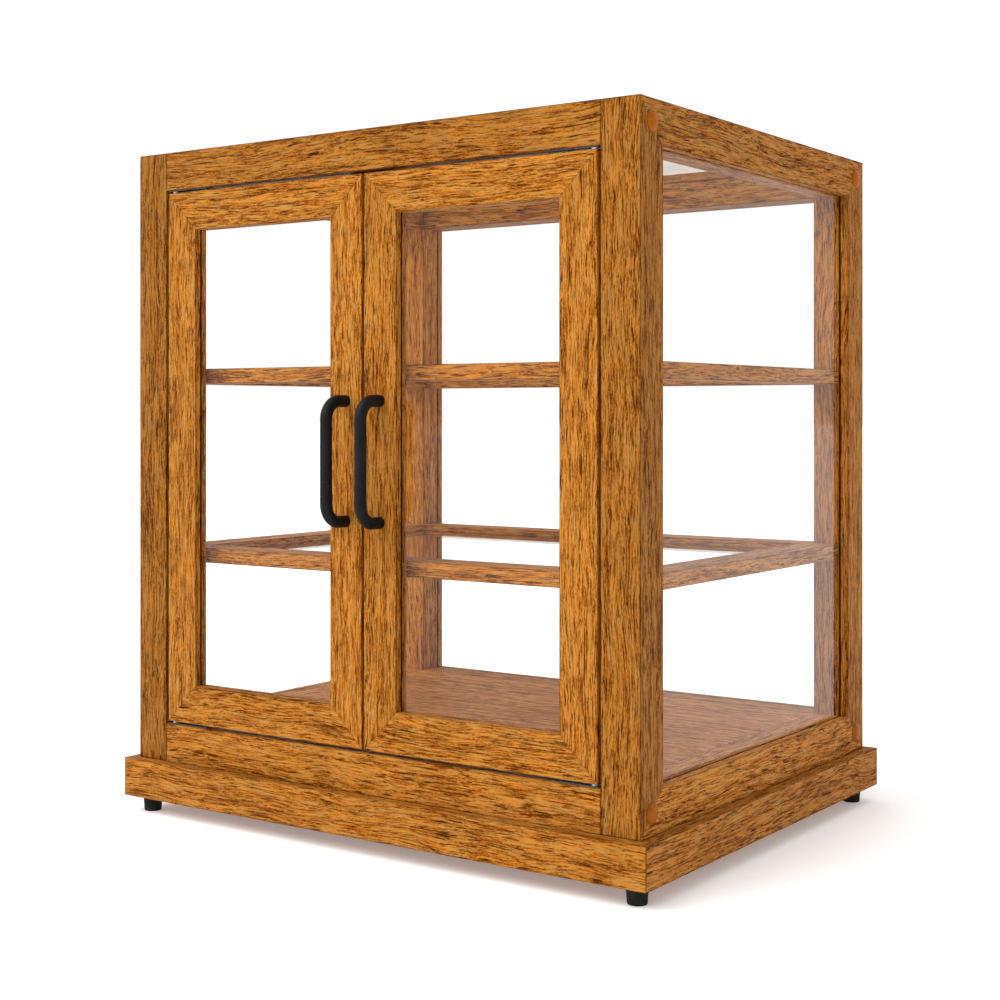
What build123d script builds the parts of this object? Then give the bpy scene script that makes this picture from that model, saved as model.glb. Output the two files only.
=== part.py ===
"""Countertop bakery display case: a glazed timber carcass on a plinth, two glazed doors, two shelves.

Frame: X across the doors, Y from front to back, Z up. The origin is at the middle of the
case's outer box, on the surface that the feet stand on. All sizes are in millimetres.
"""

from build123d import *
import os

# ---------------------------------------------------------------- driving dimensions

CASE_WIDTH = 507.0
CASE_DEPTH = 399.0
CASE_HEIGHT = 528.0
MEMBER = 33.0  # square section of every carcass member
EASE = 0.6  # eased edges of the timber
SEAM = 0.3  # light bevel where two members meet

PLINTH_HEIGHT = 33.0
PLINTH_SIDE_LEDGE = 10.0
PLINTH_END_LEDGE = 9.0
PLINTH_BOARD = 46.0

FOOT_HEIGHT = 14.0
FOOT_TOP_RADIUS = 8.5
FOOT_BOTTOM_RADIUS = 7.4
FOOT_INSET = 17.5
FOOT_RECESS_RADIUS = 3.4
FOOT_RECESS_DEPTH = 4.0
FOOT_EASE = 0.8

PANE = 2.0  # thickness of every clear pane
PANE_TONGUE = 5.5  # how far a pane reaches into its grooves
PANE_SETBACK = 7.0  # carcass panes, in from the outer faces
GROOVE_PLAY = 0.1

FLOOR_THICKNESS = 12.0
FLOOR_TONGUE = 4.0
FLOOR_TONGUE_DEPTH = 5.0  # tongue, below the floor's top face
FLOOR_PLAY = 0.15

DOOR_THICKNESS = 13.0
DOOR_MEMBER = 33.0
DOOR_SIDE_GAP = 2.4
DOOR_END_GAP = 2.4
DOOR_MEETING_GAP = 2.0
DOOR_PANE_SETBACK = 5.5

HANDLE_SPACING = 96.0
HANDLE_RADIUS = 4.8
HANDLE_STANDOFF = 24.0  # bar axis, out from the door's face
HANDLE_BEND = 15.0

SHELF_THICKNESS = 12.8
SHELF_SIDE_MEMBER = 31.5
SHELF_END_MEMBER = 31.0
SHELF_FRONT_SETBACK = 17.5  # shelf's front edge, behind the carcass front
SHELF_GAP = 0.3
SHELF_LEVELS = {"lower": 0.33, "upper": 0.666}  # shelf top, as a share of the clear height

HINGE_PIVOT_INSET = 5.0  # pivot axis, in from the door's outer edge
HINGE_PIVOT_SETBACK = 4.5  # pivot axis, behind the door's face
HINGE_LENGTH = 45.0
HINGE_WIDTH = 7.0
HINGE_PLATE = 0.9
HINGE_LEAF = 1.5
HINGE_PIN_RADIUS = 1.5
HINGE_PIN_IN_DOOR = 6.0
HINGE_WASHER_RADIUS = 2.4
HINGE_WASHER = 1.2
HINGE_SCREW_PLACES = (19.0, 38.0)  # along the plate, from its outer end
RUNNING_FIT = 0.05  # radial clearance round the hinge pins

CATCH_SIZE = (46.0, 14.0, 12.0)
CATCH_AIR = 0.4
STRIKE_SIZE = (14.0, 1.2, 10.0)
STRIKE_CENTRE = 12.0  # strike plate, from the middle of the case
STRIKE_DROP = 2.0  # strike plate's top, below the door's top edge

CAP_RADIUS = 7.75
CAP_CROWN_RADIUS = 2.5  # flat middle of the dome
CAP_RIM = 0.6
CAP_HEIGHT = 2.4
CAP_PIN_RADIUS = 1.9
CAP_PIN_LENGTH = 2.0

DOWEL_RADIUS = 3.0
DOWEL_HALF_LENGTH = 12.0
DOWEL_ALONG_MITRE = 35.3  # from the outer corner
DOWEL_INSET = 20.0  # in from the side frame's outer face
SHELF_DOWEL_RADIUS = 2.5
SHELF_DOWEL_DEPTH = 12.0
SHELF_CORNER_DOWEL_DEPTH = 9.0
WOOD_HOLE_PLAY = 0.05  # radial, round screws and dowels

# Screws: head radius, head length, shank radius, whole length.
FRAME_SCREW = (5.0, 3.0, 3.0, 70.0)
BASE_SCREW = (4.0, 3.0, 2.0, 42.0)
FOOT_SCREW = (3.2, 2.0, 1.5, 24.0)
HINGE_SCREW = (2.2, 0.5, 1.1, 12.0)
HANDLE_SCREW = (4.0, 2.2, 2.0, 21.2)
BASE_COUNTERBORE = 10.0
BASE_SCREW_X = 100.0
BASE_SCREW_Y = 90.0
DRIVE_SPAN = 1.2  # cross recess, as a share of the head's radius
DRIVE_WIDTH = 1.0
DRIVE_DEPTH = 0.6  # as a share of the head's length

# ---------------------------------------------------------------- places worked out from them

SIDE_X = CASE_WIDTH / 2
INNER_X = SIDE_X - MEMBER
FRONT = -(CASE_DEPTH + PLINTH_END_LEDGE - HANDLE_STANDOFF - HANDLE_RADIUS) / 2
BACK = FRONT + CASE_DEPTH
PLINTH_BOTTOM = FOOT_HEIGHT
BOTTOM = PLINTH_BOTTOM + PLINTH_HEIGHT
TOP = BOTTOM + CASE_HEIGHT
INNER_FRONT = FRONT + MEMBER
INNER_BACK = BACK - MEMBER
INNER_BOTTOM = BOTTOM + MEMBER
INNER_TOP = TOP - MEMBER
MIDDLE_Y = (FRONT + BACK) / 2
HANDLE_Z = (BOTTOM + TOP) / 2

DOOR_OUTER_X = INNER_X - DOOR_SIDE_GAP
DOOR_INNER_X = DOOR_MEETING_GAP / 2
DOOR_BOTTOM = INNER_BOTTOM + DOOR_END_GAP
DOOR_TOP = INNER_TOP - DOOR_END_GAP
DOOR_BACK = FRONT + DOOR_THICKNESS
PIVOT_X = DOOR_OUTER_X - HINGE_PIVOT_INSET
PIVOT_Y = FRONT + HINGE_PIVOT_SETBACK
HANDLE_X = DOOR_INNER_X + DOOR_MEMBER / 2

SIDES = {"left": -1, "right": 1}
ENDS = {"front": -1, "back": 1}
BOTH_SIGNS = (-1, 1)


def box_between(x_range, y_range, z_range):
    """Two corners of a box, with each pair in rising order."""
    low = (min(x_range), min(y_range), min(z_range))
    high = (max(x_range), max(y_range), max(z_range))
    return low, high


def grown(box, play):
    """The same box, larger by the play on every side."""
    low, high = box
    return tuple(value - play for value in low), tuple(value + play for value in high)


def side_pane_box(side):
    """A side pane, with its edges in the side frame's grooves."""
    outer = side * (SIDE_X - PANE_SETBACK)
    return box_between(
        (outer, outer - side * PANE),
        (INNER_FRONT - PANE_TONGUE, INNER_BACK + PANE_TONGUE),
        (INNER_BOTTOM - PANE_TONGUE, INNER_TOP + PANE_TONGUE),
    )


def top_pane_box():
    """The top pane, with its edges in the four top rails."""
    reach = INNER_X + PANE_TONGUE
    return box_between(
        (-reach, reach),
        (INNER_FRONT - PANE_TONGUE, INNER_BACK + PANE_TONGUE),
        (TOP - PANE_SETBACK, TOP - PANE_SETBACK - PANE),
    )


def back_pane_box():
    """The back pane, with its edges in the back posts and the back rails."""
    reach = INNER_X + PANE_TONGUE
    return box_between(
        (-reach, reach),
        (BACK - PANE_SETBACK, BACK - PANE_SETBACK - PANE),
        (INNER_BOTTOM - PANE_TONGUE, INNER_TOP + PANE_TONGUE),
    )


def floor_tongue_box():
    """The tongue that runs round the floor panel."""
    reach = INNER_X + FLOOR_TONGUE
    high = INNER_BOTTOM - FLOOR_TONGUE_DEPTH
    return box_between(
        (-reach, reach),
        (INNER_FRONT - FLOOR_TONGUE, INNER_BACK + FLOOR_TONGUE),
        (high, high - FLOOR_TONGUE),
    )


def door_pane_box(side):
    """A door's pane, at the middle of the door's thickness."""
    front = FRONT + DOOR_PANE_SETBACK
    return box_between(
        (
            side * (DOOR_INNER_X + DOOR_MEMBER - PANE_TONGUE),
            side * (DOOR_OUTER_X - DOOR_MEMBER + PANE_TONGUE),
        ),
        (front, front + PANE),
        (DOOR_BOTTOM + DOOR_MEMBER - PANE_TONGUE, DOOR_TOP - DOOR_MEMBER + PANE_TONGUE),
    )


def shelf_middle(level):
    """Height of the middle of a shelf's thickness."""
    top = INNER_BOTTOM + SHELF_LEVELS[level] * (INNER_TOP - INNER_BOTTOM)
    return top - SHELF_THICKNESS / 2


def shelf_pane_box(level):
    """A shelf's pane, in grooves at the middle of the shelf's thickness."""
    reach = SHELF_INNER_X + PANE_TONGUE
    middle = shelf_middle(level)
    return box_between(
        (-reach, reach),
        (SHELF_INNER_FRONT - PANE_TONGUE, SHELF_INNER_BACK + PANE_TONGUE),
        (middle - PANE / 2, middle + PANE / 2),
    )


# The shelf's outline: its ends stand between the posts, its sides fill the space up to the panes.
SHELF_SIDE_X = SIDE_X - PANE_SETBACK - PANE - SHELF_GAP
SHELF_END_X = INNER_X - SHELF_GAP
SHELF_INNER_X = SHELF_SIDE_X - SHELF_SIDE_MEMBER
SHELF_FRONT = FRONT + SHELF_FRONT_SETBACK
SHELF_BACK = BACK - PANE_SETBACK - PANE - SHELF_GAP
SHELF_INNER_FRONT = SHELF_FRONT + SHELF_END_MEMBER
SHELF_INNER_BACK = SHELF_BACK - SHELF_END_MEMBER
SHELF_DOWEL_X = (SHELF_END_X + SHELF_SIDE_X) / 2
SHELF_CORNER_Y = (INNER_FRONT + SHELF_GAP + SHELF_INNER_FRONT - PANE_TONGUE) / 2


def corner_places(side):
    """The four frame screws of one side: where each starts, on the side's outer face."""
    inset = MEMBER / 2
    return [
        (side * SIDE_X, y, z)
        for y in (FRONT + inset, BACK - inset)
        for z in (BOTTOM + inset, TOP - inset)
    ]


def base_screw_places():
    """Where each screw that holds the plinth to the carcass starts, in its counterbore."""
    inset = MEMBER / 2
    z = PLINTH_BOTTOM + BASE_COUNTERBORE
    ends = [(sign * BASE_SCREW_X, y, z) for sign in BOTH_SIGNS for y in (FRONT + inset, BACK - inset)]
    rails = [
        (side * (SIDE_X - inset), MIDDLE_Y + sign * BASE_SCREW_Y, z)
        for side in BOTH_SIGNS
        for sign in BOTH_SIGNS
    ]
    return ends + rails


def foot_places():
    """The centre of each foot, on the standing surface."""
    x = SIDE_X + PLINTH_SIDE_LEDGE - FOOT_INSET
    fronts = FRONT - PLINTH_END_LEDGE + FOOT_INSET
    backs = BACK + PLINTH_END_LEDGE - FOOT_INSET
    return [(side * x, y, 0.0) for side in BOTH_SIGNS for y in (fronts, backs)]


def corner_dowel_places(side):
    """The dowels across one side frame's mitres: where each starts, and its direction."""
    along = DOWEL_ALONG_MITRE / 2**0.5
    back_off = DOWEL_HALF_LENGTH / 2**0.5
    places = []
    for y_corner, y_in in ((FRONT, 1), (BACK, -1)):
        for z_corner, z_in in ((BOTTOM, 1), (TOP, -1)):
            y = y_corner + y_in * (along - back_off)
            z = z_corner + z_in * (along + back_off)
            places.append(((side * (SIDE_X - DOWEL_INSET), y, z), (0, y_in, -z_in)))
    return places


def shelf_post_dowel_places(level):
    """The dowels that hold a shelf's sides to the posts: where each starts, and its direction."""
    z = shelf_middle(level)
    starts = ((INNER_FRONT - SHELF_DOWEL_DEPTH, 1), (INNER_BACK + SHELF_DOWEL_DEPTH, -1))
    return [
        ((side * SHELF_DOWEL_X, y, z), (0, direction, 0))
        for side in BOTH_SIGNS
        for y, direction in starts
    ]


def shelf_corner_dowel_places(level):
    """The dowels that hold a shelf's front member to its sides."""
    z = shelf_middle(level)
    x = SHELF_END_X - SHELF_DOWEL_DEPTH
    return [((side * x, SHELF_CORNER_Y, z), (side, 0, 0)) for side in BOTH_SIGNS]


SHELF_POST_DOWEL_LENGTH = 2 * SHELF_DOWEL_DEPTH
SHELF_CORNER_DOWEL_LENGTH = SHELF_DOWEL_DEPTH + SHELF_CORNER_DOWEL_DEPTH


def hinge_screw_places(side, end):
    """Screw heads on one hinge plate. The end is -1 at the door's bottom and 1 at its top."""
    z = (INNER_TOP if end > 0 else INNER_BOTTOM) - end * HINGE_PLATE
    return [(side * (DOOR_OUTER_X - along), PIVOT_Y, z) for along in HINGE_SCREW_PLACES]


def leaf_screw_places(side, end):
    """Screw heads on one door leaf, flush with the door's edge."""
    z = DOOR_TOP if end > 0 else DOOR_BOTTOM
    return [(side * (DOOR_OUTER_X - along), PIVOT_Y, z) for along in HINGE_SCREW_PLACES]


def handle_ends(side):
    """The two places where a handle meets its door."""
    half = HANDLE_SPACING / 2
    return [(side * HANDLE_X, FRONT, HANDLE_Z + sign * half) for sign in BOTH_SIGNS]


# ---------------------------------------------------------------- building blocks


def bar(start, direction, radius, length, mode=Mode.ADD):
    """A round bar, or a hole of its shape, in the part that is being built."""
    with Locations(Plane(origin=start, z_dir=direction)):
        Cylinder(radius, length, align=(Align.CENTER, Align.CENTER, Align.MIN), mode=mode)


def block(box, mode=Mode.ADD):
    """A box, or a pocket of its shape, in the part that is being built."""
    low, high = box
    centre = tuple((a + b) / 2 for a, b in zip(low, high))
    size = tuple(b - a for a, b in zip(low, high))
    with Locations(centre):
        Box(*size, mode=mode)


def screw(start, direction, sizes, play=0.0, mode=Mode.ADD):
    """A plain screw, or with play the stepped hole that it fits."""
    head_radius, head_length, shank_radius, length = sizes
    bar(start, direction, shank_radius + play, length + play, mode)
    bar(start, direction, head_radius + play, head_length + play, mode)


def driven_screw(start, direction, sizes):
    """A screw with a cross recess in its head."""
    screw(start, direction, sizes)
    head_radius, head_length = sizes[:2]
    span = head_radius * DRIVE_SPAN
    depth = head_length * DRIVE_DEPTH
    low_middle = (Align.CENTER, Align.CENTER, Align.MIN)
    with Locations(Plane(origin=start, z_dir=direction)):
        Box(span, DRIVE_WIDTH, depth, align=low_middle, mode=Mode.SUBTRACT)
        Box(DRIVE_WIDTH, span, depth, align=low_middle, mode=Mode.SUBTRACT)


def save(part, name):
    """Names a finished piece and writes it."""
    part.label = name
    export_step(part, f"parts/{name}.step")


def mitred_outline(outer, inner, index):
    """One member of a mitred frame in outline, with the frame's outer corners eased."""
    after = (index + 1) % len(outer)
    start, end = Vector(*outer[index]), Vector(*outer[after])
    inner_start, inner_end = Vector(*inner[index]), Vector(*inner[after])
    along = (end - start).normalized() * EASE
    tip = EASE / 2**0.5
    start_tip = start + (inner_start - start).normalized() * tip
    end_tip = end + (inner_end - end).normalized() * tip
    return start_tip, start + along, end - along, end_tip, inner_end, inner_start


def mitre_seams(member, plane, along):
    """The edges of the mitred ends that lie on the member's two flat faces."""
    lines = member.edges().filter_by(GeomType.LINE).filter_by(along, reverse=True)
    across = lines.filter_by(Axis(plane.origin, plane.z_dir), reverse=True)
    return across.filter_by(lambda edge: edge.length > 2 * EASE)


def butt_seams(member, plane, along):
    """The edges round the member's square ends."""
    return member.faces().filter_by(along).edges()


def timber(name, plane, outline, thickness, along, seams, pockets=(), cut=None):
    """A timber member with eased edges, its grooves and its holes."""
    with BuildPart() as member:
        with BuildSketch(plane):
            with BuildLine():
                Polyline(*outline, close=True)
            make_face()
        extrude(amount=thickness)
        if seams:
            chamfer(seams(member, plane, along), SEAM)
        fillet(member.edges().filter_by(along), EASE)
        for pocket in pockets:
            block(grown(pocket, GROOVE_PLAY), Mode.SUBTRACT)
        if cut:
            cut()
    save(member.part, name)


def pane(name, box):
    """A clear pane."""
    with BuildPart() as sheet:
        block(box)
    save(sheet.part, name)


# ---------------------------------------------------------------- carcass


def cut_side_frame_holes(side):
    """Holes for the frame screws, mitre dowels, shelf dowels and base screws of one side."""
    for place in corner_places(side):
        screw(place, (-side, 0, 0), FRAME_SCREW, WOOD_HOLE_PLAY, Mode.SUBTRACT)
    for place, direction in corner_dowel_places(side):
        bar(place, direction, DOWEL_RADIUS + WOOD_HOLE_PLAY, 2 * DOWEL_HALF_LENGTH, Mode.SUBTRACT)
    for level in SHELF_LEVELS:
        for place, direction in shelf_post_dowel_places(level):
            bar(
                place,
                direction,
                SHELF_DOWEL_RADIUS + WOOD_HOLE_PLAY,
                SHELF_POST_DOWEL_LENGTH,
                Mode.SUBTRACT,
            )
    for place in base_screw_places():
        screw(place, (0, 0, 1), BASE_SCREW, WOOD_HOLE_PLAY, Mode.SUBTRACT)


def side_frame(side_name):
    """One side of the carcass: two posts and two rails, mitred at the corners."""
    side = SIDES[side_name]
    plane = Plane.YZ.offset(INNER_X if side > 0 else -SIDE_X)
    outer = ((FRONT, BOTTOM), (BACK, BOTTOM), (BACK, TOP), (FRONT, TOP))
    inner = (
        (INNER_FRONT, INNER_BOTTOM),
        (INNER_BACK, INNER_BOTTOM),
        (INNER_BACK, INNER_TOP),
        (INNER_FRONT, INNER_TOP),
    )
    pieces = ("bottom_rail", "back_post", "top_rail", "front_post")
    pockets = (side_pane_box(side), top_pane_box(), back_pane_box(), floor_tongue_box())
    for index, piece in enumerate(pieces):
        timber(
            f"{side_name}_{piece}",
            plane,
            mitred_outline(outer, inner, index),
            MEMBER,
            Axis.Z if piece.endswith("post") else Axis.Y,
            mitre_seams,
            pockets,
            lambda: cut_side_frame_holes(side),
        )


def cut_cross_rail_holes():
    """Holes for every screw that enters the rails between the side frames."""
    for side in BOTH_SIGNS:
        for place in corner_places(side):
            screw(place, (-side, 0, 0), FRAME_SCREW, WOOD_HOLE_PLAY, Mode.SUBTRACT)
        for end in BOTH_SIGNS:
            for place in hinge_screw_places(side, end):
                screw(place, (0, 0, end), HINGE_SCREW, WOOD_HOLE_PLAY, Mode.SUBTRACT)
    for place in base_screw_places():
        screw(place, (0, 0, 1), BASE_SCREW, WOOD_HOLE_PLAY, Mode.SUBTRACT)


def cross_rails():
    """The four rails between the side frames."""
    for end_name, end in ENDS.items():
        y_low = FRONT if end < 0 else INNER_BACK
        outline = (
            (-INNER_X, y_low),
            (INNER_X, y_low),
            (INNER_X, y_low + MEMBER),
            (-INNER_X, y_low + MEMBER),
        )
        pockets = (top_pane_box(), back_pane_box(), floor_tongue_box())
        for level_name, z in (("bottom", BOTTOM), ("top", INNER_TOP)):
            timber(
                f"{end_name}_{level_name}_rail",
                Plane.XY.offset(z),
                outline,
                MEMBER,
                Axis.X,
                butt_seams,
                pockets,
                cut_cross_rail_holes,
            )


def floor_panel():
    """The floor, flush with the tops of the bottom rails and held by its tongue."""
    board = box_between(
        (-INNER_X + FLOOR_PLAY, INNER_X - FLOOR_PLAY),
        (INNER_FRONT + FLOOR_PLAY, INNER_BACK - FLOOR_PLAY),
        (INNER_BOTTOM, INNER_BOTTOM - FLOOR_THICKNESS),
    )
    with BuildPart() as panel:
        block(board)
        fillet(panel.edges().group_by(Axis.Z)[-1], EASE)
        block(floor_tongue_box())
    save(panel.part, "floor_panel")


def carcass_panes():
    """The fixed panes of both sides, the top and the back."""
    for side_name, side in SIDES.items():
        pane(f"{side_name}_side_pane", side_pane_box(side))
    pane("top_pane", top_pane_box())
    pane("back_pane", back_pane_box())


def frame_screws():
    """The screws through the side frames into the ends of the cross rails."""
    with BuildPart() as screws:
        for side in BOTH_SIGNS:
            for place in corner_places(side):
                screw(place, (-side, 0, 0), FRAME_SCREW)
                bar(
                    place,
                    (-side, 0, 0),
                    CAP_PIN_RADIUS + WOOD_HOLE_PLAY,
                    CAP_PIN_LENGTH + WOOD_HOLE_PLAY,
                    Mode.SUBTRACT,
                )
    save(screws.part, "frame_screws")


def screw_caps():
    """The domed caps over the frame screws, each with a pin in the screw's socket."""
    crown = (CAP_CROWN_RADIUS, CAP_HEIGHT)
    rim = (CAP_RADIUS, CAP_RIM)
    with BuildPart() as caps:
        for side in BOTH_SIGNS:
            for place in corner_places(side):
                outward_y = Plane(origin=place, x_dir=(0, 1, 0), z_dir=(0, 0, -side))
                with BuildSketch(outward_y) as profile:
                    with BuildLine():
                        Polyline(crown, (0, CAP_HEIGHT), (0, 0), (CAP_RADIUS, 0), rim)
                        TangentArc(crown, rim, tangent=(1, 0))
                    make_face()
                revolve(profile.sketch, axis=Axis(place, (1, 0, 0)))
                bar(place, (-side, 0, 0), CAP_PIN_RADIUS, CAP_PIN_LENGTH)
    save(caps.part, "screw_caps")


def mitre_dowels():
    """The dowels inside the side frames' mitred corners."""
    with BuildPart() as dowels:
        for side in BOTH_SIGNS:
            for place, direction in corner_dowel_places(side):
                bar(place, direction, DOWEL_RADIUS, 2 * DOWEL_HALF_LENGTH)
    save(dowels.part, "mitre_dowels")


# ---------------------------------------------------------------- plinth and feet


def cut_plinth_holes():
    """Counterbored holes for the base screws, and pilot holes for the feet."""
    for x, y, z in base_screw_places():
        screw((x, y, z), (0, 0, 1), BASE_SCREW, WOOD_HOLE_PLAY, Mode.SUBTRACT)
        head_radius = BASE_SCREW[0] + WOOD_HOLE_PLAY
        bar((x, y, PLINTH_BOTTOM), (0, 0, 1), head_radius, BASE_COUNTERBORE, Mode.SUBTRACT)
    for x, y, _ in foot_places():
        place = (x, y, FOOT_RECESS_DEPTH - FOOT_SCREW[1])
        screw(place, (0, 0, 1), FOOT_SCREW, WOOD_HOLE_PLAY, Mode.SUBTRACT)


def plinth():
    """Four mitred boards, wider than the carcass, that show a ledge all round it."""
    x = SIDE_X + PLINTH_SIDE_LEDGE
    front = FRONT - PLINTH_END_LEDGE
    back = BACK + PLINTH_END_LEDGE
    outer = ((-x, front), (x, front), (x, back), (-x, back))
    inner = (
        (-x + PLINTH_BOARD, front + PLINTH_BOARD),
        (x - PLINTH_BOARD, front + PLINTH_BOARD),
        (x - PLINTH_BOARD, back - PLINTH_BOARD),
        (-x + PLINTH_BOARD, back - PLINTH_BOARD),
    )
    for index, name in enumerate(("front", "right", "back", "left")):
        timber(
            f"{name}_plinth_board",
            Plane.XY.offset(PLINTH_BOTTOM),
            mitred_outline(outer, inner, index),
            PLINTH_HEIGHT,
            Axis.X if name in ENDS else Axis.Y,
            mitre_seams,
            cut=cut_plinth_holes,
        )


def base_screws():
    """The screws up through the plinth into the carcass, and those that hold the feet."""
    with BuildPart() as screws:
        for place in base_screw_places():
            driven_screw(place, (0, 0, 1), BASE_SCREW)
        for x, y, _ in foot_places():
            driven_screw((x, y, FOOT_RECESS_DEPTH - FOOT_SCREW[1]), (0, 0, 1), FOOT_SCREW)
    save(screws.part, "base_screws")


def rubber_feet():
    """Four tapered rubber feet, each with a recess for its screw."""
    with BuildPart() as feet:
        for x, y, _ in foot_places():
            with BuildSketch(Plane(origin=(x, y, 0), x_dir=(1, 0, 0), z_dir=(0, -1, 0))) as half:
                with BuildLine():
                    Polyline(
                        (0, 0),
                        (FOOT_BOTTOM_RADIUS, 0),
                        (FOOT_TOP_RADIUS, FOOT_HEIGHT),
                        (0, FOOT_HEIGHT),
                        close=True,
                    )
                make_face()
            revolve(half.sketch, axis=Axis((x, y, 0), (0, 0, 1)))
        fillet(feet.edges().group_by(Axis.Z)[0], FOOT_EASE)
        for x, y, _ in foot_places():
            place = (x, y, FOOT_RECESS_DEPTH - FOOT_SCREW[1])
            bar((x, y, 0), (0, 0, 1), FOOT_RECESS_RADIUS, FOOT_RECESS_DEPTH, Mode.SUBTRACT)
            screw(place, (0, 0, 1), FOOT_SCREW, WOOD_HOLE_PLAY, Mode.SUBTRACT)
    save(feet.part, "rubber_feet")


# ---------------------------------------------------------------- shelves


def cut_shelf_holes(level):
    """Holes for the dowels at one shelf's corners."""
    for place, direction in shelf_post_dowel_places(level):
        bar(
            place,
            direction,
            SHELF_DOWEL_RADIUS + WOOD_HOLE_PLAY,
            SHELF_POST_DOWEL_LENGTH,
            Mode.SUBTRACT,
        )
    for place, direction in shelf_corner_dowel_places(level):
        bar(
            place,
            direction,
            SHELF_DOWEL_RADIUS + WOOD_HOLE_PLAY,
            SHELF_CORNER_DOWEL_LENGTH + WOOD_HOLE_PLAY,
            Mode.SUBTRACT,
        )


def shelf(level):
    """One shelf: a timber frame round a clear pane, notched round the four posts."""
    plane = Plane.XY.offset(shelf_middle(level) - SHELF_THICKNESS / 2)
    pockets = (shelf_pane_box(level),)
    ends = {
        "front": (SHELF_FRONT, SHELF_INNER_FRONT),
        "back": (SHELF_INNER_BACK, SHELF_BACK),
    }
    for end_name, (y_low, y_high) in ends.items():
        outline = (
            (-SHELF_END_X, y_low),
            (SHELF_END_X, y_low),
            (SHELF_END_X, y_high),
            (-SHELF_END_X, y_high),
        )
        timber(
            f"{level}_shelf_{end_name}",
            plane,
            outline,
            SHELF_THICKNESS,
            Axis.X,
            butt_seams,
            pockets,
            lambda: cut_shelf_holes(level),
        )
    y_near = INNER_FRONT + SHELF_GAP
    y_far = INNER_BACK - SHELF_GAP
    for side_name, side in SIDES.items():
        outline = (
            (side * SHELF_SIDE_X, y_near),
            (side * SHELF_SIDE_X, y_far),
            (side * SHELF_END_X, y_far),
            (side * SHELF_END_X, SHELF_INNER_BACK),
            (side * SHELF_INNER_X, SHELF_INNER_BACK),
            (side * SHELF_INNER_X, SHELF_INNER_FRONT),
            (side * SHELF_END_X, SHELF_INNER_FRONT),
            (side * SHELF_END_X, y_near),
        )
        timber(
            f"{level}_shelf_{side_name}",
            plane,
            outline,
            SHELF_THICKNESS,
            Axis.Y,
            None,
            pockets,
            lambda: cut_shelf_holes(level),
        )
    pane(f"{level}_shelf_pane", shelf_pane_box(level))


def shelf_dowels():
    """The dowels of both shelves, in the posts and in the shelves' front corners."""
    with BuildPart() as dowels:
        for level in SHELF_LEVELS:
            for place, direction in shelf_post_dowel_places(level):
                bar(place, direction, SHELF_DOWEL_RADIUS, SHELF_POST_DOWEL_LENGTH)
            for place, direction in shelf_corner_dowel_places(level):
                bar(place, direction, SHELF_DOWEL_RADIUS, SHELF_CORNER_DOWEL_LENGTH)
    save(dowels.part, "shelf_dowels")


# ---------------------------------------------------------------- doors and their fittings


def leaf_box(side, end):
    """A door leaf, let in flush with the door's top or bottom edge."""
    z = DOOR_TOP if end > 0 else DOOR_BOTTOM
    return box_between(
        (side * DOOR_OUTER_X, side * (DOOR_OUTER_X - HINGE_LENGTH)),
        (PIVOT_Y - HINGE_WIDTH / 2, PIVOT_Y + HINGE_WIDTH / 2),
        (z, z - end * HINGE_LEAF),
    )


def cut_door_fittings(side):
    """Room in a door's members for its hinge leaves, pins and screws."""
    for end in BOTH_SIGNS:
        z = DOOR_TOP if end > 0 else DOOR_BOTTOM
        block(leaf_box(side, end), Mode.SUBTRACT)
        pin_radius = HINGE_PIN_RADIUS + RUNNING_FIT
        pin_room = HINGE_PIN_IN_DOOR + EASE
        bar((side * PIVOT_X, PIVOT_Y, z), (0, 0, -end), pin_radius, pin_room, Mode.SUBTRACT)
        for place in leaf_screw_places(side, end):
            screw(place, (0, 0, -end), HINGE_SCREW, WOOD_HOLE_PLAY, Mode.SUBTRACT)
    shank = HANDLE_SCREW[2] + WOOD_HOLE_PLAY
    for place in handle_ends(side):
        bar(place, (0, 1, 0), shank, DOOR_THICKNESS, Mode.SUBTRACT)


def door(side_name):
    """One door: two stiles and two rails, mitred at the corners, round a clear pane."""
    side = SIDES[side_name]
    plane = Plane(origin=(0, DOOR_BACK, 0), x_dir=(1, 0, 0), z_dir=(0, -1, 0))
    x_out = side * DOOR_OUTER_X
    x_in = side * DOOR_INNER_X
    step = side * DOOR_MEMBER
    outer = ((x_in, DOOR_BOTTOM), (x_out, DOOR_BOTTOM), (x_out, DOOR_TOP), (x_in, DOOR_TOP))
    inner = (
        (x_in + step, DOOR_BOTTOM + DOOR_MEMBER),
        (x_out - step, DOOR_BOTTOM + DOOR_MEMBER),
        (x_out - step, DOOR_TOP - DOOR_MEMBER),
        (x_in + step, DOOR_TOP - DOOR_MEMBER),
    )
    pieces = ("bottom_rail", "hinge_stile", "top_rail", "meeting_stile")
    for index, piece in enumerate(pieces):
        timber(
            f"{side_name}_door_{piece}",
            plane,
            mitred_outline(outer, inner, index),
            DOOR_THICKNESS,
            Axis.Z if piece.endswith("stile") else Axis.X,
            mitre_seams,
            (door_pane_box(side),),
            lambda: cut_door_fittings(side),
        )
    pane(f"{side_name}_door_pane", door_pane_box(side))


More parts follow.
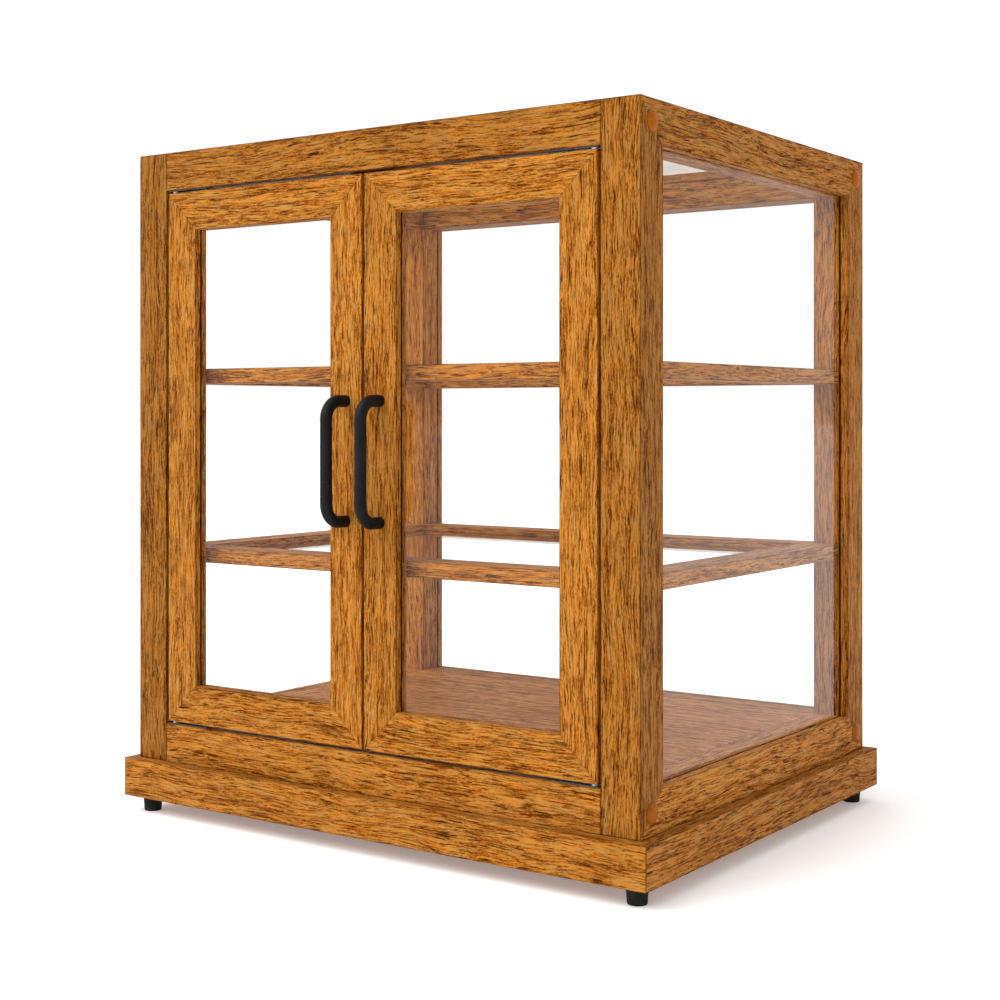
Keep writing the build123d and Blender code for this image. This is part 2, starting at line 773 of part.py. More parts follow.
def handle(side_name):
    """A bent round bar that stands off the door on its two legs."""
    side = SIDES[side_name]
    low, high = handle_ends(side)
    x, y, _ = low
    reach = y - HANDLE_STANDOFF
    with BuildPart() as pull:
        with BuildLine():
            FilletPolyline(low, (x, reach, low[2]), (x, reach, high[2]), high, radius=HANDLE_BEND)
        with BuildSketch(Plane(origin=low, z_dir=(0, -1, 0))):
            Circle(HANDLE_RADIUS)
        sweep()
        depth = HANDLE_SCREW[3] - HANDLE_SCREW[1] - DOOR_THICKNESS + WOOD_HOLE_PLAY
        for place in (low, high):
            bar(place, (0, -1, 0), HANDLE_SCREW[2] + WOOD_HOLE_PLAY, depth, Mode.SUBTRACT)
    save(pull.part, f"{side_name}_handle")


def door_screws(side_name):
    """One door's screws: two through the door into the handle, four in the hinge leaves."""
    side = SIDES[side_name]
    with BuildPart() as screws:
        for x, _, z in handle_ends(side):
            driven_screw((x, DOOR_BACK + HANDLE_SCREW[1], z), (0, -1, 0), HANDLE_SCREW)
        for end in BOTH_SIGNS:
            for place in leaf_screw_places(side, end):
                screw(place, (0, 0, -end), HINGE_SCREW)
    save(screws.part, f"{side_name}_door_screws")


def hinge_leaves(side_name):
    """The two leaves let into one door's edges, each with the hole that turns on a pin."""
    side = SIDES[side_name]
    with BuildPart() as leaves:
        for end in BOTH_SIGNS:
            z = DOOR_TOP if end > 0 else DOOR_BOTTOM
            block(leaf_box(side, end))
            pin_hole = HINGE_PIN_RADIUS + RUNNING_FIT
            bar((side * PIVOT_X, PIVOT_Y, z), (0, 0, -end), pin_hole, HINGE_LEAF, Mode.SUBTRACT)
            for place in leaf_screw_places(side, end):
                screw(place, (0, 0, -end), HINGE_SCREW, WOOD_HOLE_PLAY, Mode.SUBTRACT)
    save(leaves.part, f"{side_name}_hinge_leaves")


def hinge_plates(side_name):
    """The two plates on the carcass at one door's corners, each with its pivot pin."""
    side = SIDES[side_name]
    pin_length = DOOR_END_GAP + HINGE_PIN_IN_DOOR
    with BuildPart() as plates:
        for end in BOTH_SIGNS:
            z = INNER_TOP if end > 0 else INNER_BOTTOM
            plate = box_between(
                (side * DOOR_OUTER_X, side * (DOOR_OUTER_X - HINGE_LENGTH)),
                (PIVOT_Y - HINGE_WIDTH / 2, PIVOT_Y + HINGE_WIDTH / 2),
                (z, z - end * HINGE_PLATE),
            )
            block(plate)
            bar((side * PIVOT_X, PIVOT_Y, z), (0, 0, -end), HINGE_PIN_RADIUS, pin_length)
            for place in hinge_screw_places(side, end):
                screw(place, (0, 0, end), HINGE_SCREW, WOOD_HOLE_PLAY, Mode.SUBTRACT)
    save(plates.part, f"{side_name}_hinge_plates")


def hinge_washers():
    """A washer on each pivot pin, against its plate."""
    with BuildPart() as washers:
        for side in BOTH_SIGNS:
            for end in BOTH_SIGNS:
                z = (INNER_TOP if end > 0 else INNER_BOTTOM) - end * HINGE_PLATE
                place = (side * PIVOT_X, PIVOT_Y, z)
                pin_hole = HINGE_PIN_RADIUS + RUNNING_FIT
                bar(place, (0, 0, -end), HINGE_WASHER_RADIUS, HINGE_WASHER)
                bar(place, (0, 0, -end), pin_hole, HINGE_WASHER, Mode.SUBTRACT)
    save(washers.part, "hinge_washers")


def hinge_plate_screws():
    """The screws that hold the hinge plates to the top and bottom rails."""
    with BuildPart() as screws:
        for side in BOTH_SIGNS:
            for end in BOTH_SIGNS:
                for place in hinge_screw_places(side, end):
                    screw(place, (0, 0, end), HINGE_SCREW)
    save(screws.part, "hinge_plate_screws")


def magnet_catch():
    """The magnet housing under the front top rail, behind the doors' meeting stiles."""
    width, depth, height = CATCH_SIZE
    near = DOOR_BACK + STRIKE_SIZE[1] + CATCH_AIR
    with BuildPart() as catch:
        block(
            box_between(
                (-width / 2, width / 2),
                (near, near + depth),
                (INNER_TOP, INNER_TOP - height),
            )
        )
        fillet(catch.edges().filter_by(Axis.Z), EASE)
    save(catch.part, "magnet_catch")


def strike_plate(side_name):
    """The steel plate on a door's back that the magnet holds."""
    side = SIDES[side_name]
    width, thickness, height = STRIKE_SIZE
    top = DOOR_TOP - STRIKE_DROP
    centre = side * STRIKE_CENTRE
    with BuildPart() as strike:
        block(
            box_between(
                (centre - width / 2, centre + width / 2),
                (DOOR_BACK, DOOR_BACK + thickness),
                (top, top - height),
            )
        )
        fillet(strike.edges().filter_by(Axis.Y), EASE)
    save(strike.part, f"{side_name}_strike_plate")


# ---------------------------------------------------------------- the whole case


def main():
    """Builds and writes every piece of the case."""
    os.makedirs("parts", exist_ok=True)
    cross_rails()
    floor_panel()
    carcass_panes()
    frame_screws()
    screw_caps()
    mitre_dowels()
    plinth()
    base_screws()
    rubber_feet()
    for level in SHELF_LEVELS:
        shelf(level)
    shelf_dowels()
    for side_name in SIDES:
        side_frame(side_name)
        door(side_name)
        handle(side_name)
        door_screws(side_name)
        hinge_leaves(side_name)
        hinge_plates(side_name)
        strike_plate(side_name)
    hinge_washers()
    hinge_plate_screws()
    magnet_catch()


main()
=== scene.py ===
"""Looks of the bakery display case: oak, clear panes, black pulls, caps and feet, camera and light."""

import math
import random

import bpy
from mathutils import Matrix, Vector


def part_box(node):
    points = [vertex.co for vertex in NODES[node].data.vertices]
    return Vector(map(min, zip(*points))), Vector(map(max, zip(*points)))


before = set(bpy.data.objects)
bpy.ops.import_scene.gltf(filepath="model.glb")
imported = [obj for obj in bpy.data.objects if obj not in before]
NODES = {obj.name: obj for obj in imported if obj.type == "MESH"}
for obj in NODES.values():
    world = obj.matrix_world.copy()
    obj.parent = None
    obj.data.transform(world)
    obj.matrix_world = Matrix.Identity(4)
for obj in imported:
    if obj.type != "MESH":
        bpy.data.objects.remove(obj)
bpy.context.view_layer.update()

SCENE = bpy.context.scene


# ---------------------------------------------------------------- node helpers


def put(tree, kind, inputs=(), **settings):
    """Adds a shader node. An input takes a value or another node's output socket."""
    made = tree.nodes.new(kind)
    for name, value in settings.items():
        setattr(made, name, value)
    for name, value in dict(inputs).items():
        if isinstance(value, bpy.types.NodeSocket):
            tree.links.new(value, made.inputs[name])
        else:
            made.inputs[name].default_value = value
    return made


def calc(tree, operation, first, second=0.0):
    """One step of arithmetic, as its output socket."""
    inputs = {0: first, 1: second}
    return put(tree, "ShaderNodeMath", inputs, operation=operation).outputs[0]


def span(tree, value, low, high, to_low=0.0, to_high=1.0):
    """Smoothly maps value from low..high to to_low..to_high, held at both ends."""
    inputs = {"Value": value, "From Min": low, "From Max": high, "To Min": to_low, "To Max": to_high}
    made = put(tree, "ShaderNodeMapRange", inputs, interpolation_type="SMOOTHSTEP")
    return made.outputs["Result"]


def blend(tree, factor, first, second, mode="MIX"):
    """Mixes two colours, as an output socket."""
    made = put(tree, "ShaderNodeMix", data_type="RGBA", blend_type=mode)
    sockets = (made.inputs[0], made.inputs[6], made.inputs[7])
    for socket, value in zip(sockets, (factor, first, second)):
        if isinstance(value, bpy.types.NodeSocket):
            tree.links.new(value, socket)
        else:
            socket.default_value = value
    return made.outputs[2]


def noise(tree, vector, detail, roughness, scale=1.0):
    """A noise value from 0 to 1 at the given coordinates."""
    inputs = {"Vector": vector, "Scale": scale, "Detail": detail, "Roughness": roughness}
    return put(tree, "ShaderNodeTexNoise", inputs).outputs["Fac"]


def own_coordinates(tree):
    """The piece's own coordinates, in metres."""
    return put(tree, "ShaderNodeTexCoord").outputs["Object"]


def scaled(tree, vector, factors):
    """The coordinates times one factor for each axis."""
    inputs = {0: vector, 1: factors}
    return put(tree, "ShaderNodeVectorMath", inputs, operation="MULTIPLY").outputs[0]


def new_material(name):
    """A material with an empty node tree."""
    material = bpy.data.materials.new(name)
    material.use_nodes = True
    material.node_tree.nodes.clear()
    return material, material.node_tree


def principled(tree, inputs, height=None, bump=0.3, depth=0.0003):
    """A Principled shader, with an optional bump, joined to the output."""
    shader = put(tree, "ShaderNodeBsdfPrincipled", inputs)
    if height is not None:
        bumped = put(tree, "ShaderNodeBump", {"Height": height, "Strength": bump, "Distance": depth})
        tree.links.new(bumped.outputs["Normal"], shader.inputs["Normal"])
    output = put(tree, "ShaderNodeOutputMaterial")
    tree.links.new(shader.outputs[0], output.inputs["Surface"])


def wear(node, material):
    """Gives every material slot of a CAD node the same material."""
    mesh = NODES[node].data
    for index in range(max(1, len(mesh.materials))):
        if index < len(mesh.materials):
            mesh.materials[index] = material
        else:
            mesh.materials.append(material)


# ---------------------------------------------------------------- oak

LIGHT_OAK = (0.560, 0.236, 0.039, 1)
MIDDLE_OAK = (0.320, 0.098, 0.007, 1)
DARK_OAK = (0.098, 0.020, 0.0005, 1)
PORE = (0.036, 0.008, 0.001, 1)
BLOTCH = (0.160, 0.050, 0.006, 1)
WARM_GLOSS = (1.0, 0.62, 0.28, 1)
RED_SHIFT = (1.09, 0.96, 0.68, 1)  # multiplies the colour of some streaks
OLIVE_SHIFT = (0.93, 1.035, 1.38, 1)  # multiplies the colour of the others
GRAIN_AXES = {"X": (0, 1, 2), "Y": (1, 0, 2), "Z": (2, 0, 1)}  # the grain's own axis first

# Layers of the pattern: frequency per metre along and across the grain, detail, roughness.
BANDS = (9, 190, 3.0, 0.55)
STREAKS = (44, 800, 2.0, 0.6)
THREADS = (110, 1800, 2.0, 0.6)
FLECKS = (430, 1300, 1.0, 0.5)
PORES = (52, 1000, 1.0, 0.5)
HUES = (38, 420, 2.0, 0.6)
CLOUDS = (15, 32, 2.0, 0.5)

# How the grain sways: frequency per metre along and across it, and reach in metres.
SWAYS = ((8, 20, 0.016), (55, 120, 0.0014))

# How much each layer counts in the shade of the wood.
BANDS_SHARE = 0.20
FINE_SHARES = ((STREAKS, 0.38), (THREADS, 0.25), (FLECKS, 0.17))

# Ranges for span: from low, from high, to low, to high. Two numbers alone go to 0 and 1.
LIGHT_RANGE = (0.45, 0.57)  # shade, from middle to light oak
DARK_RANGE = (0.485, 0.405, 0.0, 0.92)  # shade, down to dark oak
BLOTCH_RANGE = (0.50, 0.74, 0.0, 0.20)
CROWD_RANGE = (0.62, 0.36, 0.635, 0.605)  # bands, to the level above which pores show
PORE_RANGE = (0.0, 0.05)
HUE_RANGE = (0.36, 0.64)
ARRIS_STAIN_AND_SHADE_RANGE = (0.0002, 0.0012, 0.58, 1.0)  # metres from an arris, to brightness: darker near arrises and ends, partly stain collected there and partly painted shade of the shadow lines between members
GLOSS_RANGE = (0.40, 0.62, 0.66, 0.48)  # shade, to roughness

PORE_STRENGTH = 0.85  # how far the colour goes to that of the pores
PORE_ROUGHNESS = 0.2
SHADE_HEIGHT = 1.4  # how much the shade raises the surface
PORE_DEPTH = 0.5  # how much a pore lowers it
OAK_SPECULAR = 0.10
OAK_IOR = 1.45
OAK_BUMP = 0.35
OAK_BUMP_DEPTH = 0.0004
PATTERN_REACH = 3.0  # metres, how far apart the members' stretches of the pattern may lie
TONE_SPREAD = (0.85, 0.95)
DRAW_SEED = 11


def layer(tree, place, along, across, detail, roughness):
    """A noise value from 0 to 1, drawn out along the grain."""
    return noise(tree, scaled(tree, place, (along, across, across)), detail, roughness)


def swayed(tree, place):
    """The coordinates with the slow wander and the small ripples of real grain."""
    moved = place
    for along, across, reach in SWAYS:
        vector = scaled(tree, place, (along, across, across))
        inputs = {"Vector": vector, "Scale": 1.0, "Detail": 1.0}
        offset = put(tree, "ShaderNodeTexNoise", inputs).outputs["Color"]
        inputs = {0: offset, 1: (0.0, reach, reach), 2: moved}
        moved = put(tree, "ShaderNodeVectorMath", inputs, operation="MULTIPLY_ADD").outputs[0]
    return moved


def oak_colour(tree, shade, pore_mask, hues, clouds):
    """The colour of the wood before its member's tone."""
    colour = blend(tree, span(tree, shade, *LIGHT_RANGE), MIDDLE_OAK, LIGHT_OAK)
    colour = blend(tree, span(tree, shade, *DARK_RANGE), colour, DARK_OAK)
    colour = blend(tree, span(tree, clouds, *BLOTCH_RANGE), colour, BLOTCH)
    colour = blend(tree, calc(tree, "MULTIPLY", pore_mask, PORE_STRENGTH), colour, PORE)
    shift = blend(tree, span(tree, hues, *HUE_RANGE), RED_SHIFT, OLIVE_SHIFT)
    return blend(tree, 1.0, colour, shift, "MULTIPLY")


def oak_group():
    """The oak pattern, shared by every timber member.

    Place is in metres with its first axis along the grain. Edge is 0 on a member's arris and
    rises away from it; near an arris or an end the colour darkens, partly as stain collected
    there and partly as painted shade of the shadow lines between members. Tone lightens or
    darkens a whole member; it is partly the member's own tone and partly painted light.
    """
    tree = bpy.data.node_groups.new("oak_pattern", "ShaderNodeTree")
    for name, kind in (("Place", "Vector"), ("Edge", "Float"), ("Tone", "Float")):
        tree.interface.new_socket(name, in_out="INPUT", socket_type=f"NodeSocket{kind}")
    for name, kind in (("Color", "Color"), ("Roughness", "Float"), ("Height", "Float")):
        tree.interface.new_socket(name, in_out="OUTPUT", socket_type=f"NodeSocket{kind}")
    given = put(tree, "NodeGroupInput")
    place, edge, tone_and_light = given.outputs["Place"], given.outputs["Edge"], given.outputs["Tone"]
    grain = swayed(tree, place)

    bands = layer(tree, grain, *BANDS)
    shade = calc(tree, "MULTIPLY", bands, BANDS_SHARE)
    for settings, share in FINE_SHARES:
        part = calc(tree, "MULTIPLY", layer(tree, grain, *settings), share)
        shade = calc(tree, "ADD", shade, part)
    pore_level = span(tree, bands, *CROWD_RANGE)
    above = calc(tree, "SUBTRACT", layer(tree, grain, *PORES), pore_level)
    pore_mask = span(tree, above, *PORE_RANGE)

    hues = layer(tree, grain, *HUES)
    clouds = layer(tree, place, *CLOUDS)
    colour = oak_colour(tree, shade, pore_mask, hues, clouds)
    # Painted light and shade: the tone is partly painted light, and the darkening near arrises and
    # ends is partly painted shade of the shadow lines between members.
    tone_light_and_edge_shade = calc(tree, "MULTIPLY", span(tree, edge, *ARRIS_STAIN_AND_SHADE_RANGE), tone_and_light)
    grey = put(tree, "ShaderNodeCombineXYZ", {"X": tone_light_and_edge_shade, "Y": tone_light_and_edge_shade, "Z": tone_light_and_edge_shade}).outputs[0]
    inputs = {0: colour, 1: grey}
    toned = put(tree, "ShaderNodeVectorMath", inputs, operation="MULTIPLY").outputs[0]

    rough = span(tree, shade, *GLOSS_RANGE)
    rough = calc(tree, "ADD", rough, calc(tree, "MULTIPLY", pore_mask, PORE_ROUGHNESS))
    height = calc(tree, "MULTIPLY", shade, SHADE_HEIGHT)
    height = calc(tree, "SUBTRACT", height, calc(tree, "MULTIPLY", pore_mask, PORE_DEPTH))

    result = put(tree, "NodeGroupOutput")
    tree.links.new(toned, result.inputs["Color"])
    tree.links.new(rough, result.inputs["Roughness"])
    tree.links.new(height, result.inputs["Height"])
    return tree


def depth_in(tree, node, split, index):
    """How far a point lies inside the node's own box along one axis, in metres."""
    places = [corner[index] for corner in NODES[node].bound_box]
    low, high = min(places), max(places)
    offset = calc(tree, "SUBTRACT", split.outputs[index], (low + high) / 2)
    return calc(tree, "SUBTRACT", (high - low) / 2, calc(tree, "ABSOLUTE", offset))


def edge_distance(tree, node, split, order):
    """How far a point on a member lies from its long edges and from its ends, in metres."""
    end, first, second = (depth_in(tree, node, split, index) for index in order)
    return calc(tree, "MINIMUM", end, calc(tree, "MAXIMUM", first, second))


def oak(node, axis, tone_and_light, group, chance):
    """Oak for one member: its own stretch of the pattern, with the grain along the given axis."""
    material, tree = new_material(f"oak_{node}")
    order = GRAIN_AXES[axis]
    split = put(tree, "ShaderNodeSeparateXYZ", {"Vector": own_coordinates(tree)})
    turned = put(
        tree,
        "ShaderNodeCombineXYZ",
        {name: split.outputs[index] for name, index in zip("XYZ", order)},
    ).outputs[0]
    shift = tuple(chance.uniform(-PATTERN_REACH, PATTERN_REACH) for _ in range(3))
    place = put(tree, "ShaderNodeVectorMath", {0: turned, 1: shift}, operation="ADD").outputs[0]
    pattern = put(tree, "ShaderNodeGroup", node_tree=group)
    tree.links.new(place, pattern.inputs["Place"])
    tree.links.new(edge_distance(tree, node, split, order), pattern.inputs["Edge"])
    # The tone carries painted light as well as the member's own tone; the random spread is the wood's
    # own.
    pattern.inputs["Tone"].default_value = tone_and_light * chance.uniform(*TONE_SPREAD)
    principled(
        tree,
        {
            "Base Color": pattern.outputs["Color"],
            "Roughness": pattern.outputs["Roughness"],
            "Specular IOR Level": OAK_SPECULAR,
            "Specular Tint": WARM_GLOSS,
            "IOR": OAK_IOR,
        },
        pattern.outputs["Height"],
        bump=OAK_BUMP,
        depth=OAK_BUMP_DEPTH,
    )
    wear(node, material)


SIDES = ("left", "right")
ENDS = ("front", "back")
LEVELS = ("lower", "upper")

# Kinds of member: name, the words that fill it, grain axis and tone. The tones are partly the wood's
# own and partly painted light, set so each member shows a given brightness; the side bottom rails are
# made lighter than the scene's light leaves them.
MEMBER_KINDS = (
    ("{}_front_post", SIDES, "Z", 0.78),
    ("{}_back_post", SIDES, "Z", 0.86),
    ("{}_top_rail", SIDES, "Y", 0.85),
    ("{}_bottom_rail", SIDES, "Y", 1.16),
    ("{}_door_top_rail", SIDES, "X", 0.98),
    ("{}_door_bottom_rail", SIDES, "X", 0.98),
    ("{}_door_hinge_stile", SIDES, "Z", 1.0),
    ("{}_door_meeting_stile", SIDES, "Z", 1.0),
    ("{}_plinth_board", SIDES, "Y", 1.02),
    ("{}_top_rail", ENDS, "X", 0.78),
    ("{}_bottom_rail", ENDS, "X", 0.90),
    ("{}_plinth_board", ENDS, "X", 0.94),
    ("{}_shelf_front", LEVELS, "X", 0.98),
    ("{}_shelf_back", LEVELS, "X", 0.98),
    ("{}_shelf_left", LEVELS, "Y", 1.05),
    ("{}_shelf_right", LEVELS, "Y", 1.05),
)

# Members with a tone of their own, partly the wood's own and partly painted light; the floor panel
# inside the case is made lighter than the shade there leaves it.
SINGLE_MEMBERS = {
    "floor_panel": ("X", 1.19),
    "left_front_post": ("Z", 0.65),
    "left_back_post": ("Z", 1.10),
    "right_door_meeting_stile": ("Z", 0.88),
    "left_door_bottom_rail": ("X", 0.90),
}


def timber_members():
    """Every timber node with its grain axis and its tone, which is partly painted light."""
    members = {
        name.format(word): (axis, tone_and_light)
        for name, words, axis, tone_and_light in MEMBER_KINDS
        for word in words
    }
    members.update(SINGLE_MEMBERS)
    return members


def finish_timber():
    """Oak on every timber member, each from its own part of the pattern."""
    group = oak_group()
    chance = random.Random(DRAW_SEED)
    for node, (axis, tone_and_light) in sorted(timber_members().items()):
        oak(node, axis, tone_and_light, group, chance)


# ---------------------------------------------------------------- other materials

GROOVE_DEPTH = 0.0052  # how much of a pane's edge its grooves hide, in metres
GROOVE_BLUR = 0.0003  # width of the soft border of that strip, in metres
CLEAR_TINT = (0.995, 0.992, 0.990, 1)
# Painted shade: the strip of pane hidden in a groove is tinted brown so the groove reads darker.
GROOVE_SHADE_TINT = (0.40, 0.22, 0.13, 1)
ACRYLIC_IOR = 1.36  # sets how much the sheet mirrors
SMEAR_SCALE = (30, 30, 12)  # frequency per metre of wiping marks
RIPPLE_SCALE = (6, 6, 6)  # frequency per metre of the sheet's slight waviness
SMEAR_GLOSS = (0.35, 0.75, 0.015, 0.06)  # smear, to roughness
RIPPLE_BUMP = 0.06
RIPPLE_DEPTH = 0.0006

# Powder coat: frequencies per metre, its two blacks and its gloss.
PEEL_SCALE = 2600.0
RUB_SCALE = 60.0
COAT_COLOURS = ((0.003, 0.003, 0.0034, 1), (0.008, 0.0077, 0.0077, 1))
RUB_RANGE = (0.45, 0.8)
RUB_GLOSS = (0.3, 0.8, 0.56, 0.46)  # rub, to roughness
COAT_SPECULAR = 0.18
COAT_BUMP = 0.25
COAT_DEPTH = 0.0002

SPOT_COLOUR_RANGE = (0.3, 0.75)
SPOT_GLOSS_RANGE = (0.3, 0.8)
TEXTURE_DEPTH = 0.0001

# Plain finishes: two mottled colours with the roughness of each, and the frequencies per metre
# of the fine texture and of the mottling.
PLAIN_FINISHES = {
    "black_rubber": {
        "colours": ((0.004, 0.004, 0.004, 1), (0.010, 0.0095, 0.009, 1)),
        "roughness": (0.75, 0.6),
        "texture": 1800.0,
        "mottle": 220.0,
        "specular": 0.2,
    },
    "zinc_plate": {
        "colours": ((0.62, 0.62, 0.64, 1), (0.45, 0.45, 0.46, 1)),
        "roughness": (0.28, 0.42),
        "texture": 1500.0,
        "mottle": 300.0,
        "metallic": 1.0,
    },
    "hinge_steel": {
        "colours": ((0.075, 0.075, 0.08, 1), (0.04, 0.04, 0.045, 1)),
        "roughness": (0.5, 0.65),
        "texture": 1500.0,
        "mottle": 260.0,
        "metallic": 0.6,
    },
    "pale_nylon": {
        "colours": ((0.86, 0.85, 0.82, 1), (0.78, 0.77, 0.74, 1)),
        "roughness": (0.35, 0.5),
        "texture": 1500.0,
        "mottle": 300.0,
    },
    "cap_plastic": {
        "colours": ((0.35, 0.092, 0.001, 1), (0.30, 0.075, 0.001, 1)),
        "roughness": (0.3, 0.42),
        "texture": 900.0,
        "mottle": 160.0,
        "specular": 0.06,
        "bump": 0.06,
    },
    "beech": {
        "colours": ((0.62, 0.42, 0.22, 1), (0.52, 0.33, 0.16, 1)),
        "roughness": (0.6, 0.7),
        "texture": 1400.0,
        "mottle": 120.0,
        "specular": 0.3,
    },
    "catch_plastic": {
        "colours": ((0.13, 0.055, 0.02, 1), (0.10, 0.042, 0.016, 1)),
        "roughness": (0.45, 0.6),
        "texture": 1600.0,
        "mottle": 150.0,
    },
}

FITTING_FINISHES = {
    "rubber_feet": "black_rubber",
    "screw_caps": "cap_plastic",
    "mitre_dowels": "beech",
    "shelf_dowels": "beech",
    "magnet_catch": "catch_plastic",
    "hinge_washers": "pale_nylon",
    "base_screws": "zinc_plate",
    "frame_screws": "zinc_plate",
    "hinge_plate_screws": "hinge_steel",
    "left_hinge_plates": "hinge_steel",
    "right_hinge_plates": "hinge_steel",
    "left_hinge_leaves": "hinge_steel",
    "right_hinge_leaves": "hinge_steel",
    "left_door_screws": "zinc_plate",
    "right_door_screws": "zinc_plate",
    "left_strike_plate": "zinc_plate",
    "right_strike_plate": "zinc_plate",
}


def acrylic(node):
    """Clear sheet that mirrors more at a glancing angle, with its edges in the grooves tinted brown as
    painted shade of the grooves.
    """
    material, tree = new_material(f"acrylic_{node}")
    place = own_coordinates(tree)
    split = put(tree, "ShaderNodeSeparateXYZ", {"Vector": place})
    size = NODES[node].dimensions
    thin = min(range(3), key=lambda index: size[index])
    first, second = (depth_in(tree, node, split, index) for index in range(3) if index != thin)
    from_edge = calc(tree, "MINIMUM", first, second)
    in_groove = span(tree, from_edge, GROOVE_DEPTH, GROOVE_DEPTH - GROOVE_BLUR)
    smear = noise(tree, scaled(tree, place, SMEAR_SCALE), 3.0, 0.6)
    ripple = noise(tree, scaled(tree, place, RIPPLE_SCALE), 1.0, 0.5)
    rough = span(tree, smear, *SMEAR_GLOSS)
    waves = {"Height": ripple, "Strength": RIPPLE_BUMP, "Distance": RIPPLE_DEPTH}
    bumped = put(tree, "ShaderNodeBump", waves)
    # Painted shade: the strip of pane inside the grooves takes the brown tint, which darkens the
    # grooves.
    tint_with_groove_shade = blend(tree, in_groove, CLEAR_TINT, GROOVE_SHADE_TINT)
    clear = put(tree, "ShaderNodeBsdfTransparent", {"Color": tint_with_groove_shade})
    shine = put(
        tree,
        "ShaderNodeBsdfGlossy",
        {"Color": (1, 1, 1, 1), "Roughness": rough, "Normal": bumped.outputs["Normal"]},
    )
    mirror = put(tree, "ShaderNodeFresnel", {"IOR": ACRYLIC_IOR}).outputs[0]
    backfacing = put(tree, "ShaderNodeNewGeometry").outputs["Backfacing"]
    outside = calc(tree, "SUBTRACT", 1.0, backfacing)
    both = put(tree, "ShaderNodeMixShader", {0: calc(tree, "MULTIPLY", mirror, outside)})
    tree.links.new(clear.outputs[0], both.inputs[1])
    tree.links.new(shine.outputs[0], both.inputs[2])
    output = put(tree, "ShaderNodeOutputMaterial")
    tree.links.new(both.outputs[0], output.inputs["Surface"])
    return material


def black_coat():
    """Fine matte powder coat, a little worn to grey where hands polish it."""
    material, tree = new_material("black_powder_coat")
    place = own_coordinates(tree)
    peel = noise(tree, place, 2.0, 0.6, PEEL_SCALE)
    rub = noise(tree, place, 3.0, 0.6, RUB_SCALE)
    colour = blend(tree, span(tree, rub, *RUB_RANGE), *COAT_COLOURS)
    rough = span(tree, rub, *RUB_GLOSS)
    principled(
        tree,
        {"Base Color": colour, "Roughness": rough, "Specular IOR Level": COAT_SPECULAR},
        peel,
        bump=COAT_BUMP,
        depth=COAT_DEPTH,
    )
    return material


def plain_finish(
    name, colours, roughness, texture, mottle, metallic=0.0, specular=0.5, bump=0.2
):
    """A moulded, cast or plated finish with mottling, uneven gloss and a fine texture."""
    material, tree = new_material(name)
    place = own_coordinates(tree)
    spots = noise(tree, place, 3.0, 0.6, mottle)
    fine = noise(tree, place, 2.0, 0.6, texture)
    colour = blend(tree, span(tree, spots, *SPOT_COLOUR_RANGE), *colours)
    rough = span(tree, spots, *SPOT_GLOSS_RANGE, *roughness)
    principled(
        tree,
        {
            "Base Color": colour,
            "Roughness": rough,
            "Metallic": metallic,
            "Specular IOR Level": specular,
        },
        fine,
        bump=bump,
        depth=TEXTURE_DEPTH,
    )
    return material


def finish_fittings():
    """Materials of every node that isn't timber."""
    for node in NODES:
        if node.endswith("_pane"):
            wear(node, acrylic(node))
    black = black_coat()
    for side in SIDES:
        wear(f"{side}_handle", black)
    finishes = {name: plain_finish(name, **sizes) for name, sizes in PLAIN_FINISHES.items()}
    for node, name in FITTING_FINISHES.items():
        wear(node, finishes[name])


# ---------------------------------------------------------------- floor, light and camera

FLOOR_REACH = 40.0  # metres to each side
FLOOR_CLOUDS = 1.5  # frequency per metre
FLOOR_COLOURS = ((0.95, 0.95, 0.95, 1), (0.92, 0.92, 0.92, 1))
FLOOR_GLOW = 0.22  # softens the shadow under the case
WORLD_RANGE = (0.15, 0.85, 1.08, 0.52)  # direction to the right, to brightness
KEY_DIRECTION = (-0.38, -0.60, 0.70)
KEY_STRENGTH = 1.9
KEY_WIDTH_DEG = 42.0

# The camera's place in shares of the carcass height: out from the right front post's outer
# corner, and up from the bottom of the carcass.
EYE_RIGHT = 1.1189
EYE_FORWARD = 1.9326
EYE_HEIGHT = 0.57515
EYE_TURN_DEG = 34.89
LENS_MM = 59.94
SENSOR_MM = 36.0
LENS_SHIFT_Y = -0.0885


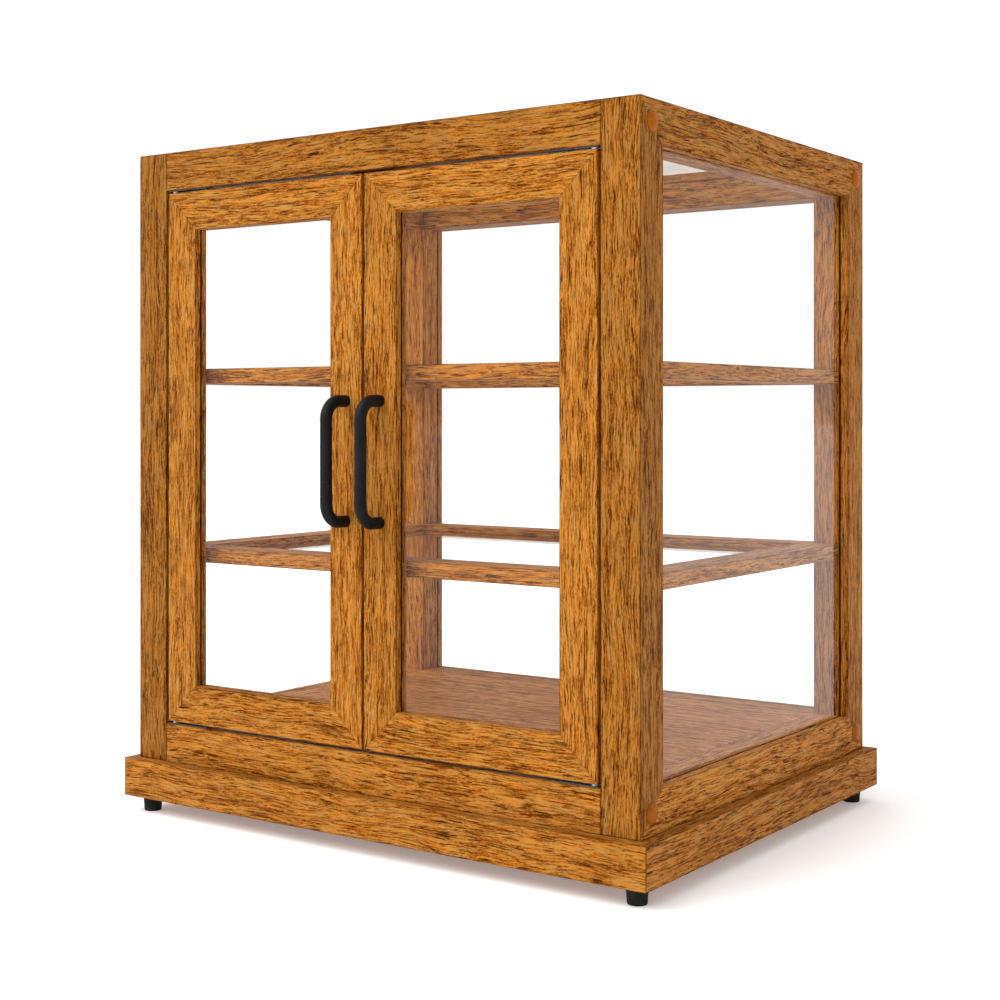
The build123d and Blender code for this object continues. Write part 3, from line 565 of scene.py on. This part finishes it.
def floor():
    """A wide pale floor that glows a little."""
    mesh = bpy.data.meshes.new("floor")
    signs = ((-1, -1), (1, -1), (1, 1), (-1, 1))
    corners = [(x * FLOOR_REACH, y * FLOOR_REACH, 0) for x, y in signs]
    mesh.from_pydata(corners, [], [(0, 1, 2, 3)])
    plane = bpy.data.objects.new("floor", mesh)
    SCENE.collection.objects.link(plane)
    material, tree = new_material("pale_floor")
    place = own_coordinates(tree)
    cloud = noise(tree, place, 2.0, 0.5, FLOOR_CLOUDS)
    principled(
        tree,
        {
            "Base Color": blend(tree, cloud, *FLOOR_COLOURS),
            "Roughness": 0.9,
            "Specular IOR Level": 0.0,
            "Emission Color": (1, 1, 1, 1),
            "Emission Strength": FLOOR_GLOW,
        },
    )
    mesh.materials.append(material)


def surround():
    """A white surround, dimmer on the right, so that the sides are lit less than the doors."""
    world = bpy.data.worlds.new("surround")
    world.use_nodes = True
    tree = world.node_tree
    direction = put(tree, "ShaderNodeTexCoord").outputs["Generated"]
    to_right = put(tree, "ShaderNodeSeparateXYZ", {"Vector": direction}).outputs["X"]
    background = tree.nodes["Background"]
    background.inputs["Color"].default_value = (1, 1, 1, 1)
    tree.links.new(span(tree, to_right, *WORLD_RANGE), background.inputs["Strength"])
    SCENE.world = world


def key_light():
    """A very wide soft key light from the front left and above."""
    data = bpy.data.lights.new("key", "SUN")
    data.energy = KEY_STRENGTH
    data.angle = math.radians(KEY_WIDTH_DEG)
    lamp = bpy.data.objects.new("key", data)
    lamp.rotation_euler = Vector(KEY_DIRECTION).to_track_quat("Z", "Y").to_euler()
    SCENE.collection.objects.link(lamp)


def studio():
    """Plain soft light, with colours shown as they are."""
    surround()
    key_light()
    SCENE.view_settings.view_transform = "Standard"
    SCENE.view_settings.look = "None"


def camera():
    """A level camera, to the right of the doors, about three fifths of the way up the case."""
    low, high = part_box("right_front_post")
    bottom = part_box("right_bottom_rail")[0].z
    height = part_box("right_top_rail")[1].z - bottom
    data = bpy.data.cameras.new("camera")
    data.lens = LENS_MM
    data.sensor_width = SENSOR_MM
    data.shift_y = LENS_SHIFT_Y
    eye = bpy.data.objects.new("camera", data)
    eye.location = (
        high.x + EYE_RIGHT * height,
        low.y - EYE_FORWARD * height,
        bottom + EYE_HEIGHT * height,
    )
    eye.rotation_euler = (math.radians(90.0), 0.0, math.radians(EYE_TURN_DEG))
    SCENE.collection.objects.link(eye)
    SCENE.camera = eye


# ---------------------------------------------------------------- the scene

finish_timber()
finish_fittings()
floor()
studio()
camera()
